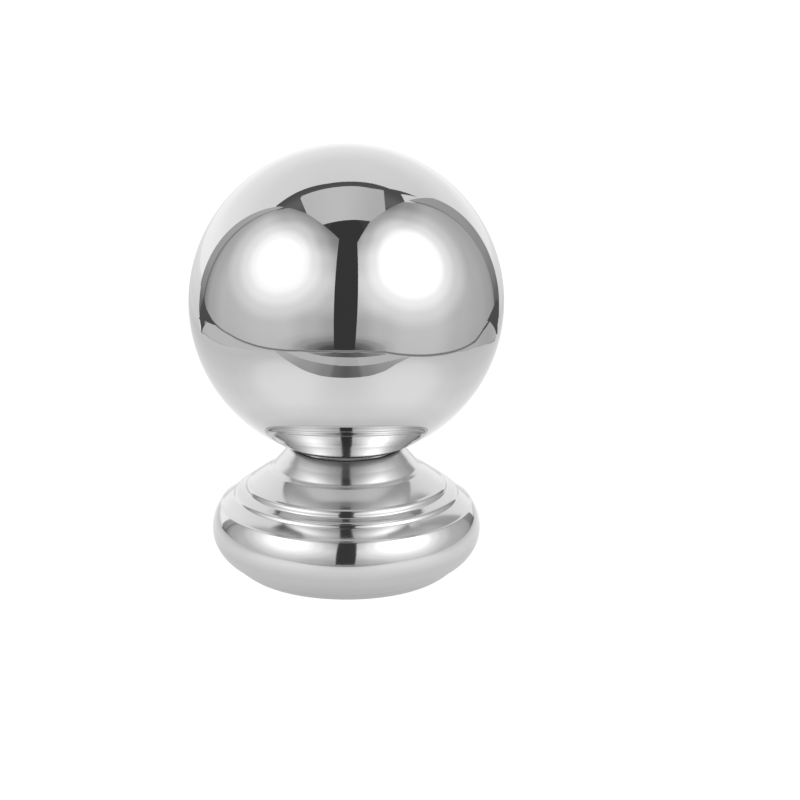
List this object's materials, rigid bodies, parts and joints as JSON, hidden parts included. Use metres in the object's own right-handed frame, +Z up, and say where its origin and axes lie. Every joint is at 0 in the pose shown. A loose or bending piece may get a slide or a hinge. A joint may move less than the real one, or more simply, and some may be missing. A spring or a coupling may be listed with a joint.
{
  "type": "stair railing finial",
  "caption": "Polished steel ball finial on a flared neck and a stepped round base, hollow below, to cap a stair newel or railing post.",
  "frame": {"origin": "centre of the foot rim, in the plane it stands on", "axes": "+Z up the turning axis, from the foot to the ball"},
  "size_m": [0.0984, 0.0984, 0.1355],
  "materials": {
    "ball_steel": "mirror-polished stainless steel",
    "base_steel": "mirror-polished stainless steel, spun"
  },
  "bodies": {
    "root": {"ball": "ball_steel", "base": "base_steel"}
  },
  "joints": []
}
